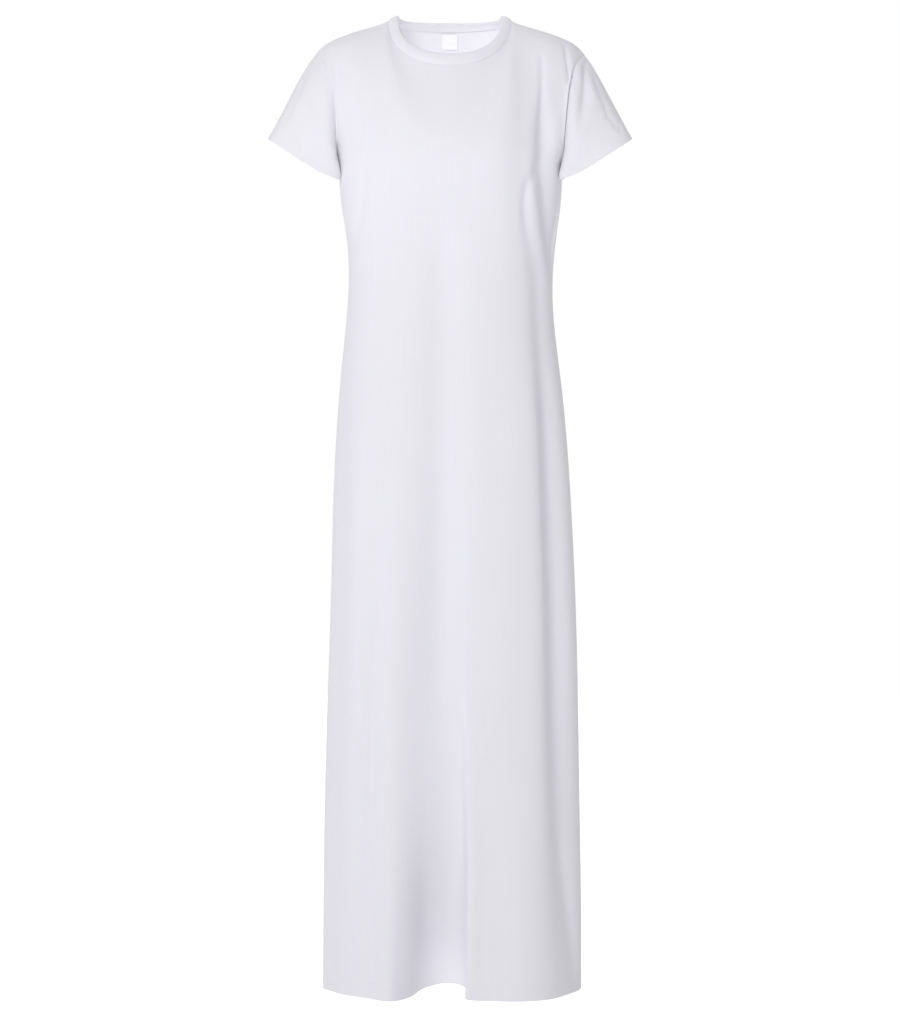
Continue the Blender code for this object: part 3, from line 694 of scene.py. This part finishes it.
def band_surface(sizes):
    """Points and UV of the folded neckband: up outside, round the fold and down inside.

    Across its width the band leans in from its seam to its fold and bows out, and ribs of one pitch run across
    it, each as deep as |cos| of its turn."""
    made = panels()
    columns = np.linspace(-NECK_SHARE, NECK_SHARE, BAND_COLUMNS + 1)
    halves = []
    for panel in (made["front"], made["back"]):
        on_neck = abs(panel["columns"]) <= NECK_SHARE + 1e-9
        halves.append(spline(panel["columns"][on_neck], panel["points"][-1, on_neck], columns))
    loop = np.concatenate([halves[0], halves[1][-2::-1]])
    turn = np.linspace(0, 2 * np.pi, len(loop))
    ahead, behind = (np.clip(sign * np.sin(turn), 0, 1) ** 1.5 for sign in (1, -1))
    beside = 1 - ahead - behind
    quarters = np.clip(-np.sin(2 * turn) * np.sign(np.pi * 1.5 - turn), 0, 1) * (turn > np.pi)
    lean = xyz(
        -BAND_SIDE[0] * np.cos(turn),
        BAND_FRONT[0] * ahead + BAND_BACK[0] * behind,
        BAND_FRONT[1] * ahead + BAND_BACK[1] * behind + BAND_SIDE[1] * beside + BAND_BACK_QUARTERS * quarters,
    )
    around = np.gradient(loop, axis=0)
    around[[0, -1]] = loop[1] - loop[-2]
    way = unit(np.cross(unit(around), lean))
    if way[len(loop) // 4, 1] > 0:
        way = -way
    length = lengths_along(loop, 0)
    ribs = round(length[-1] / (sizes.rib_pitch / MM))
    rib = abs(np.cos(np.pi * ribs * length / length[-1])) ** 0.7 - 0.6
    rows = []
    for share, offset in BAND_PROFILE:
        bulge = offset * sizes.rib_thickness / MM * BAND_LAYER + BAND_BOW * np.sin(np.pi * share)
        bulge = bulge + sizes.rib_depth / MM * rib * np.clip(abs(offset) * 1.4 - 0.2, 0, 1) * np.sign(offset)
        rows.append(loop + share * lean + way * bulge[:, None])
    points = np.array(rows)
    across = lengths_along(points, 0)
    return points, np.stack([np.broadcast_to(length, across.shape), across], axis=-1)


def mesh_from(name, vertices, quads, uv=None):
    """A mesh of four-sided faces, with one UV pair for each face corner where given, and smooth shading."""
    mesh = bpy.data.meshes.new(name)
    mesh.vertices.add(len(vertices))
    mesh.vertices.foreach_set("co", np.ascontiguousarray(vertices, dtype=np.float32).ravel())
    mesh.loops.add(quads.size)
    mesh.loops.foreach_set("vertex_index", np.ascontiguousarray(quads, dtype=np.int32).ravel())
    mesh.polygons.add(len(quads))
    mesh.polygons.foreach_set("loop_start", np.arange(0, quads.size, 4, dtype=np.int32))
    mesh.update(calc_edges=True)
    if uv is not None:
        layer = mesh.uv_layers.new(name="cloth")
        layer.uv.foreach_set("vector", np.ascontiguousarray(uv, dtype=np.float32).ravel())
    mesh.validate()
    mesh.shade_smooth()
    return mesh


def shell_mesh(name, points, way, thickness, uv, closed=False):
    """Closed wall on a grid: the points moved out and in by half the thickness, with rims between them."""
    rows, full = points.shape[:2]
    columns = full - 1 if closed else full
    offset = way * thickness / 2
    vertices = np.concatenate([(points + offset)[:, :columns], (points - offset)[:, :columns]]).reshape(-1, 3)
    layer = rows * columns

    def place(row, column):
        return row * columns + column % columns

    def quads_of(corners):
        index = np.stack([place(r, c) + layer * k for r, c, k in corners], axis=-1)
        pair = np.stack([uv[r, c] for r, c, k in corners], axis=-2)
        return index.reshape(-1, 4), pair.reshape(-1, 4, 2)

    r, c = np.meshgrid(np.arange(rows - 1), np.arange(full - 1), indexing="ij")
    outer = quads_of([(r, c, 0), (r, c + 1, 0), (r + 1, c + 1, 0), (r + 1, c, 0)])
    inner = quads_of([(r + 1, c, 1), (r + 1, c + 1, 1), (r, c + 1, 1), (r, c, 1)])
    c = np.arange(full - 1)
    low, high = np.zeros_like(c), np.full_like(c, rows - 1)
    rims = [((low, c + 1), (low, c)), ((high, c), (high, c + 1))]
    if not closed:
        r = np.arange(rows - 1)
        low, high = np.zeros_like(r), np.full_like(r, columns - 1)
        rims += [((r, low), (r + 1, low)), ((r + 1, high), (r, high))]
    rims = [quads_of([(*a, 0), (*b, 0), (*b, 1), (*a, 1)]) for a, b in rims]
    quads, pairs = (np.concatenate([part[k] for part in (outer, inner, *rims)]) for k in (0, 1))
    cell = outer[0][:: max(1, len(outer[0]) // 500)]
    face_way = np.cross(vertices[cell[:, 1]] - vertices[cell[:, 0]], vertices[cell[:, 3]] - vertices[cell[:, 0]])
    if (face_way * way[:, :columns].reshape(-1, 3)[cell[:, 0]]).sum() < 0:
        quads, pairs = quads[:, ::-1], pairs[:, ::-1]
    return mesh_from(name, vertices * MM, quads, pairs * MM)


def cloth_uv(points, up):
    """Length of cloth across from the middle column, and up as given for each row, for each point of a grid."""
    across = lengths_along(points, 1)
    across = across - across[:, across.shape[1] // 2][:, None]
    return np.stack([across, np.broadcast_to(up[:, None], across.shape)], axis=-1)


def sampled(places, line, at, period=None):
    """Line (point, xyz), known at the places, read at others by straight steps."""
    return np.stack([np.interp(at, places, part, period=period) for part in line.T], axis=-1)


def stitches_mesh(name, paths, length, pitch, radius):
    """Stitches along closed paths of points and directions: each is a short thread, thick in its middle.

    Its ring at x along the stitch has radius r (1 - (2x/L)^6)^(1/2), and its ends dip into the cloth."""
    rings, sides = 6, 6
    x = np.cos(np.linspace(np.pi, 0, rings))[:, None] * 0.98
    size = np.sqrt(np.clip(1 - x**6, 0.02, 1))
    turn = np.arange(sides) / sides * 2 * np.pi
    ring = xyz(x * length / 2, size * np.cos(turn) * radius, radius * (0.8 * size * np.sin(turn) - 0.55 * x**2))
    ring = ring.reshape(-1, 3)
    index = np.arange(rings * sides).reshape(rings, sides)
    i, j = (part.ravel() for part in np.meshgrid(np.arange(rings - 1), np.arange(sides), indexing="ij"))
    after = (j + 1) % sides
    base = np.stack([index[i, j], index[i + 1, j], index[i + 1, after], index[i, after]], axis=-1)
    halves = np.array([[0, 1, 2, 3], [0, 3, 4, 5]])
    base = np.concatenate([base, index[0, halves], index[-1, halves[:, ::-1]]])
    vertices, quads, count = [], [], 0
    for line, way in paths:
        step = lengths_along(line, 0)
        number = int(round(step[-1] / pitch))
        at = (np.arange(number) + 0.5) * step[-1] / number
        tangent = unit(sampled(step, line, at + 1, step[-1]) - sampled(step, line, at - 1, step[-1]))
        beside = unit(np.cross(unit(sampled(step, way, at)), tangent))
        axes = np.stack([tangent, beside, np.cross(tangent, beside)], axis=1)
        vertices.append((sampled(step, line, at)[:, None] + np.einsum("ik,nkj->nij", ring, axes)).reshape(-1, 3))
        quads.append((base + count + np.arange(number)[:, None, None] * len(ring)).reshape(-1, 4))
        count += number * len(ring)
    return mesh_from(name, np.concatenate(vertices) * MM, np.concatenate(quads))


def colour_of(slot_name):
    """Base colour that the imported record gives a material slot."""
    for row in frame["record"]["materials"]:
        if row["slot"] == slot_name:
            return tuple(row["base_color"])
    raise RuntimeError(f"the record has no slot named {slot_name}")


class Nodes:
    """Adds nodes to one node tree and links them."""

    def __init__(self, tree):
        self.tree = tree

    def add(self, kind, settings=None, inputs=None):
        """A node of that kind, with its settings, and its inputs set or linked by name or number."""
        node = self.tree.nodes.new(kind)
        for key, value in (settings or {}).items():
            setattr(node, key, value)
        for key, value in (inputs or {}).items():
            if isinstance(value, bpy.types.NodeSocket):
                self.tree.links.new(value, node.inputs[key])
            else:
                node.inputs[key].default_value = value
        return node

    def sum(self, operation, first, second=0.0):
        """Result of one piece of arithmetic."""
        return self.add("ShaderNodeMath", {"operation": operation}, {0: first, 1: second}).outputs[0]

    def weighed(self, *terms):
        """Sum of values, each times its weight."""
        total = None
        for value, weight in terms:
            part = value if weight == 1 else self.sum("MULTIPLY", value, weight)
            total = part if total is None else self.sum("ADD", total, part)
        return total


class Finish(Nodes):
    """The nodes of one material: its places on the piece, patterns on them, and its shader."""

    def __init__(self, name):
        self.material = bpy.data.materials.new(name)
        self.material.use_nodes = True
        super().__init__(self.material.node_tree)
        self.shader = self.tree.nodes["Principled BSDF"]
        self.place = self.add("ShaderNodeTexCoord").outputs["Object"]

    def lengths(self):
        """The cloth's own UV map, and its lengths across and up."""
        uv = self.add("ShaderNodeUVMap", {"uv_map": "cloth"}).outputs["UV"]
        parts = self.add("ShaderNodeSeparateXYZ", None, {0: uv}).outputs
        return uv, parts[0], parts[1]

    def ranged(self, value, low, high, new_low, new_high):
        """Value carried from one range to another."""
        inputs = {0: value, 1: low, 2: high, 3: new_low, 4: new_high}
        return self.add("ShaderNodeMapRange", None, inputs).outputs[0]

    def noise(self, place, scale, detail=3.0):
        """Noise on a place, so many times a metre."""
        inputs = {"Vector": place, "Scale": scale, "Detail": detail, "Roughness": 0.55}
        return self.add("ShaderNodeTexNoise", None, inputs).outputs["Fac"]

    def wave(self, value, pitch=1.0):
        """Sine wave of that pitch."""
        return self.sum("SINE", self.sum("MULTIPLY", value, 2 * np.pi / pitch))

    def finish(self, colour, variation, height, distance, strength, rough, sheen):
        """Links colour, relief and roughness to the shader, and sets its plain numbers on its own sockets.

        Variation, from 0 to 1, makes the colour a little darker or lighter. Rough is a value with the two ends
        of the roughness that it drives, where it goes from 0.3 to 0.7."""
        mix = self.add("ShaderNodeMix", {"data_type": "RGBA", "blend_type": "MIX"}, {"Factor": variation})
        mix.inputs["A"].default_value = (*[0.955 * c for c in colour], 1)
        mix.inputs["B"].default_value = (*[min(1, 1.03 * c) for c in colour], 1)
        bump = self.add("ShaderNodeBump", None, {"Height": height, "Distance": distance, "Strength": strength})
        roughness = self.ranged(rough[0], 0.3, 0.7, rough[1], rough[2])
        for output, name in (
            (bump.outputs["Normal"], "Normal"), (mix.outputs["Result"], "Base Color"), (roughness, "Roughness"),
        ):
            self.tree.links.new(output, self.shader.inputs[name])
        for name, value in (("Sheen Weight", sheen), ("Sheen Roughness", 0.45), ("Specular IOR Level", 0.25)):
            self.shader.inputs[name].default_value = value
        return self.material


def jersey_material(name, colour):
    """Plain jersey: wales of V-shaped loops on the cloth's own UV map, soft fibres and faint uneven colour."""
    nodes = Finish(name)
    uv, across, up = nodes.lengths()
    leg = nodes.sum("ABSOLUTE", nodes.sum("SUBTRACT", nodes.sum("FRACT", nodes.sum("DIVIDE", across, WALE)), 0.5))
    slant = nodes.sum("SUBTRACT", nodes.sum("DIVIDE", up, COURSE), nodes.sum("MULTIPLY", leg, 1.3))
    loop = nodes.ranged(nodes.wave(slant), -1.0, 1.0, 0.55, 1.0)
    fibres = nodes.noise(nodes.place, 1900.0)
    height = nodes.weighed((nodes.sum("MULTIPLY", nodes.wave(leg), loop), 1), (fibres, 0.5))
    streak_place = nodes.add("ShaderNodeMapping", None, {"Vector": uv, "Scale": (1.0, 0.06, 1.0)}).outputs[0]
    streaks, patches = nodes.noise(streak_place, 260.0, 2.0), nodes.noise(nodes.place, 14.0)
    variation = nodes.weighed((streaks, 0.45), (patches, 0.25), (fibres, 0.3))
    return nodes.finish(colour, variation, height, 0.00012, 0.55, (fibres, 0.82, 0.94), 0.12)


def rib_material(name, colour):
    """Rib knit: fine loops that run up each rib, on the band's own UV map."""
    nodes = Finish(name)
    _, _, up = nodes.lengths()
    fibres = nodes.noise(nodes.place, 1700.0)
    height = nodes.weighed((nodes.wave(up, RIB_LOOP), 0.35), (fibres, 1))
    variation = nodes.weighed((nodes.noise(nodes.place, 40.0), 0.5), (fibres, 0.5))
    return nodes.finish(colour, variation, height, 0.0001, 0.5, (fibres, 0.82, 0.94), 0.12)


def woven_material(name, colour):
    """Close satin weave of a label: fine weft lines with a soft gloss."""
    nodes = Finish(name)
    _, across, up = nodes.lengths()
    height = nodes.weighed((nodes.wave(up, WEFT), 1), (nodes.wave(across, WARP), 0.4))
    variation = nodes.noise(nodes.place, 300.0)
    return nodes.finish(colour, variation, height, 0.00004, 0.5, (variation, 0.5, 0.62), 0.05)


def thread_material(name, colour):
    """Sewing thread: fine slanted twists."""
    nodes = Finish(name)
    parts = nodes.add("ShaderNodeSeparateXYZ", None, {0: nodes.place}).outputs
    twist = nodes.wave(nodes.weighed(*((part, 1) for part in parts)), TWIST)
    variation = nodes.noise(nodes.place, 700.0, 2.0)
    return nodes.finish(colour, variation, twist, 0.00005, 0.4, (variation, 0.55, 0.7), 0.05)


def add_piece(name, mesh, material, nodes_replaced=()):
    """Puts a piece into the scene: it rides on the body, takes its material and stands for its CAD nodes."""
    mesh.materials.append(material)
    piece = bpy.data.objects.new(name, mesh)
    bpy.context.scene.collection.objects.link(piece)
    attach(piece, BODY)
    if nodes_replaced:
        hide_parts(*nodes_replaced)
    return piece


def ring_at(distance):
    """The closed line round the hem at that distance above it, along the front and back along the back."""
    lines, ways = [], []
    for name, order in (("front", 1), ("back", -1)):
        panel = panels()[name]
        row = int(np.argmin(abs(panel["above_hem"].mean(axis=1) - distance)))
        lines.append(panel["points"][row][::order])
        ways.append(panel["outward"][row][::order])
    return np.concatenate([lines[0], lines[1][1:]]), np.concatenate([ways[0], ways[1][1:]])


class DressSizes(bpy.types.PropertyGroup):
    """Sizes that a maker would change."""

    cloth_thickness: FloatProperty(
        name="Cloth thickness", description="Thickness of the jersey", default=0.0007, min=0.0003,
        max=0.002, unit="LENGTH",
    )
    hem_allowance: FloatProperty(
        name="Hem", description="Width of the cloth turned in at the hem", default=0.028, min=0.01,
        max=0.05, unit="LENGTH",
    )
    cuff_allowance: FloatProperty(
        name="Cuff hem", description="Width of the cloth turned in at a cuff", default=0.021, min=0.01,
        max=0.04, unit="LENGTH",
    )
    hem_gap: FloatProperty(
        name="Hem gap", description="Distance between the middles of a hem's two layers", default=0.0012,
        min=0.0006, max=0.004, unit="LENGTH",
    )
    stitch_pitch: FloatProperty(
        name="Stitch", description="Distance from one stitch to the next", default=0.0033, min=0.002,
        max=0.006, unit="LENGTH",
    )
    thread_radius: FloatProperty(
        name="Thread radius", description="Half the thickness of the sewing thread", default=0.00022,
        min=0.0001, max=0.0006, unit="LENGTH",
    )
    rib_pitch: FloatProperty(
        name="Rib pitch", description="Distance from one rib of the neckband to the next", default=0.0022,
        min=0.0012, max=0.005, unit="LENGTH",
    )
    rib_depth: FloatProperty(
        name="Rib depth", description="Depth of the grooves between the ribs", default=0.0003, min=0.0,
        max=0.001, unit="LENGTH",
    )
    rib_thickness: FloatProperty(
        name="Rib thickness", description="Thickness of one layer of the rib knit", default=0.0010,
        min=0.0005, max=0.002, unit="LENGTH",
    )


class DressColours(bpy.types.PropertyGroup):
    """Colours of the cloth, label, thread and floor."""

    cotton: FloatVectorProperty(
        name="Cotton", description="Colour of the jersey and the rib", subtype="COLOR",
        default=colour_of("front"), min=0.0, max=1.0,
    )
    label: FloatVectorProperty(
        name="Label", description="Colour of the woven label", subtype="COLOR",
        default=colour_of("label"), min=0.0, max=1.0,
    )
    thread: FloatVectorProperty(
        name="Thread", description="Colour of the sewing thread", subtype="COLOR",
        default=(0.86, 0.86, 0.89), min=0.0, max=1.0,
    )
    floor: FloatVectorProperty(
        name="Floor", description="Colour of the floor", subtype="COLOR",
        default=(0.92, 0.92, 0.92), min=0.0, max=1.0,
    )


def add_cloth(part, points, outward, sign, allowance, closed=False):
    """A cut piece as a closed wall of jersey with its hem turned in at the first row; sign turns it outward."""
    sizes, colours = bpy.context.scene.dress_sizes, bpy.context.scene.dress_colours
    points, up = turned_in(points, outward, allowance / MM, sizes.hem_gap / MM)
    way = surface_normals(points, closed) * sign
    if not closed:
        way[-1] = outward[-1]
    mesh = shell_mesh(f"{part}_cloth", points, way, sizes.cloth_thickness / MM, cloth_uv(points, up), closed)
    add_piece(f"{part}_cloth", mesh, jersey_material(f"{part}_jersey", colours.cotton), (part,))


class MakePanels(bpy.types.Operator):
    """Make the front and the back, each with its folds, seams and turned-in hem"""

    bl_idname = "dress.make_panels"
    bl_label = "Front and back"

    def execute(self, context):
        allowance = context.scene.dress_sizes.hem_allowance
        for name, facing in (("front", -1), ("back", 1)):
            panel = panels()[name]
            add_cloth(name, panel["points"], panel["outward"], -facing, allowance)
        return {"FINISHED"}


class MakeSleeves(bpy.types.Operator):
    """Make the two short sleeves with their creases and turned-in cuffs"""

    bl_idname = "dress.make_sleeves"
    bl_label = "Sleeves"

    def execute(self, context):
        allowance = context.scene.dress_sizes.cuff_allowance
        for word, side in SIDES:
            points, outward, sign = sleeve_surface(side)
            add_cloth(f"sleeve_{word}", points[::-1], outward[::-1], -sign, allowance, closed=True)
        return {"FINISHED"}


class MakeNeckband(bpy.types.Operator):
    """Make the folded rib neckband"""

    bl_idname = "dress.make_neckband"
    bl_label = "Neckband"

    def execute(self, context):
        sizes, colours = context.scene.dress_sizes, context.scene.dress_colours
        points, uv = band_surface(sizes)
        way = surface_normals(points, closed=True)
        if way[4, points.shape[1] // 4, 1] > 0:
            way = -way
        mesh = shell_mesh("neckband_rib", points, way, sizes.rib_thickness / MM, uv, closed=True)
        add_piece("neckband_rib", mesh, rib_material("neck_rib", colours.cotton), ("neckband",))
        return {"FINISHED"}


class MakeLabel(bpy.types.Operator):
    """Make the bare woven label, folded at its lower edge, inside the back neck"""

    bl_idname = "dress.make_label"
    bl_label = "Label"

    def execute(self, context):
        colours = context.scene.dress_colours
        columns, steps = (np.linspace(*span, LABEL_COLUMNS) for span in (LABEL_ACROSS, LABEL_UP))
        points = chest(BACK_LINES, BACK_NECK, columns, steps)
        inward = surface_normals(points)
        stand = LABEL_STAND * (1 + np.linspace(1, 0, LABEL_COLUMNS) ** 2)
        points, up = turned_in(points + inward * stand[:, None, None], inward, LABEL_FOLD, LABEL_FOLD_GAP)
        mesh = shell_mesh("neck_label", points, surface_normals(points), LABEL_THICKNESS, cloth_uv(points, up))
        add_piece("neck_label", mesh, woven_material("label_weave", colours.label), ("label",))
        return {"FINISHED"}


class MakeStitches(bpy.types.Operator):
    """Make the two rows of stitches round the hem and each cuff"""

    bl_idname = "dress.make_stitches"
    bl_label = "Stitches"

    def execute(self, context):
        sizes, colours = context.scene.dress_sizes, context.scene.dress_colours
        thread = thread_material("thread", colours.thread)
        pitch, lift = sizes.stitch_pitch / MM, sizes.cloth_thickness / MM / 2
        seams = [("hem_stitches", "front", [ring_at(distance) for distance in STITCH_ROWS])]
        for word, side in SIDES:
            points, outward, _ = sleeve_surface(side)
            above = from_last_row(points).mean(axis=1)
            rows = [int(np.argmin(abs(above - distance))) for distance in CUFF_STITCH_ROWS]
            seams.append((f"cuff_{word}_stitches", f"sleeve_{word}", [(points[r], outward[r]) for r in rows]))
        for name, slot_name, paths in seams:
            paths = [(line + way * lift, way) for line, way in paths]
            mesh = stitches_mesh(name, paths, STITCH_SHARE * pitch, pitch, sizes.thread_radius / MM)
            add_piece(name, mesh, thread)
        return {"FINISHED"}


class DeclareCloth(bpy.types.Operator):
    """Does nothing: no piece of cloth is given the size it was cut to"""

    bl_idname = "dress.declare_cloth"
    bl_label = "Cut sizes"

    def execute(self, context):
        return {"FINISHED"}


class MakeStage(bpy.types.Operator):
    """Make the floor, the soft studio light and the camera"""

    bl_idname = "dress.make_stage"
    bl_label = "Stage"

    def execute(self, context):
        scene = context.scene
        corners = FLOOR_HALF * np.array([[-1, -1, 0], [1, -1, 0], [1, 1, 0], [-1, 1, 0]]) + (0, 0, FLOOR_HEIGHT)
        mesh = mesh_from("floor", corners, np.array([[0, 1, 2, 3]]))
        nodes = Finish("floor_paint")
        grain = nodes.noise(nodes.place, 60.0, 2.0)
        nodes.finish(scene.dress_colours.floor, grain, grain, 0.0002, 0.1, (grain, 0.88, 0.92), 0.0)
        nodes.shader.inputs["Emission Color"].default_value = (1, 1, 1, 1)
        nodes.shader.inputs["Emission Strength"].default_value = FLOOR_GLOW
        mesh.materials.append(nodes.material)
        floor = bpy.data.objects.new("floor", mesh)
        floor.visible_diffuse = False
        floor.visible_shadow = False
        scene.collection.objects.link(floor)
        make_world(scene)
        for light in LIGHTS:
            add_light(*light)
        bpy.data.objects["neck_light"].visible_camera = False
        camera = bpy.data.objects.new("camera", bpy.data.cameras.new("camera"))
        camera.location = CAMERA_PLACE
        camera.rotation_euler = (np.pi / 2, 0, 0)
        camera.data.sensor_fit = "VERTICAL"
        camera.data.sensor_height = 24.0
        camera.data.lens = CAMERA_LENS
        camera.data.clip_start = 0.1
        camera.data.clip_end = 60.0
        scene.collection.objects.link(camera)
        scene.camera = camera
        scene.view_settings.view_transform = "Standard"
        return {"FINISHED"}


def make_world(scene):
    """White all round: full white where the camera sees it, and softer where it lights the dress."""
    world = bpy.data.worlds.new("studio")
    world.use_nodes = True
    nodes = Nodes(world.node_tree)
    place = nodes.add("ShaderNodeTexCoord").outputs["Generated"]
    lobes = []
    for way, strength in DOME:
        part = nodes.add("ShaderNodeVectorMath", {"operation": "DOT_PRODUCT"}, {0: place, 1: way}).outputs["Value"]
        lobes.append((nodes.sum("MAXIMUM", part), strength))
    lit, seen = (
        nodes.add("ShaderNodeBackground", None, {"Color": tint, "Strength": strength}).outputs[0]
        for tint, strength in ((DOME_COLOUR, nodes.weighed(*lobes)), ((1, 1, 1, 1), 1.0))
    )
    path = nodes.add("ShaderNodeLightPath").outputs["Is Camera Ray"]
    mix = nodes.add("ShaderNodeMixShader", None, {0: path, 1: lit, 2: seen}).outputs[0]
    nodes.tree.links.new(mix, nodes.tree.nodes["World Output"].inputs["Surface"])
    scene.world = world


def add_light(name, place, aim, size, power):
    """A square soft light at a place, turned to its aim."""
    light = bpy.data.lights.new(name, "AREA")
    light.shape = "SQUARE"
    light.size = size
    light.energy = power
    lamp = bpy.data.objects.new(name, light)
    way = np.array(aim, float) - np.array(place, float)
    lamp.location = place
    lamp.rotation_euler = (np.pi / 2 + np.arctan2(way[2], np.hypot(*way[:2])), 0, np.arctan2(-way[0], way[1]))
    bpy.context.scene.collection.objects.link(lamp)


class DressPanel(bpy.types.Panel):
    """Sizes, colours and the steps that build the dress"""

    bl_idname = "DRESS_PT_build"
    bl_label = "Jersey maxi dress"
    bl_space_type = "VIEW_3D"
    bl_region_type = "UI"
    bl_category = "Dress"

    def draw(self, context):
        layout = self.layout
        for group in (context.scene.dress_sizes, context.scene.dress_colours):
            box = layout.box()
            for key in group.__annotations__:
                box.prop(group, key)
        for step in STEPS:
            layout.operator(step.bl_idname)


STEPS = (MakePanels, MakeSleeves, MakeNeckband, MakeLabel, MakeStitches, DeclareCloth, MakeStage)
CLASSES = (DressSizes, DressColours, *STEPS, DressPanel)


def register():
    """Registers the classes and the scene's properties."""
    for made in CLASSES:
        bpy.utils.register_class(made)
    bpy.types.Scene.dress_sizes = PointerProperty(type=DressSizes)
    bpy.types.Scene.dress_colours = PointerProperty(type=DressColours)


def unregister():
    """Takes the properties and classes away again."""
    del bpy.types.Scene.dress_colours
    del bpy.types.Scene.dress_sizes
    for made in reversed(CLASSES):
        bpy.utils.unregister_class(made)


def main():
    register()
    bpy.ops.dress.make_panels()
    bpy.ops.dress.make_sleeves()
    bpy.ops.dress.make_neckband()
    bpy.ops.dress.make_label()
    bpy.ops.dress.make_stitches()
    bpy.ops.dress.declare_cloth()
    bpy.ops.dress.make_stage()


if __name__ == "__main__":
    main()
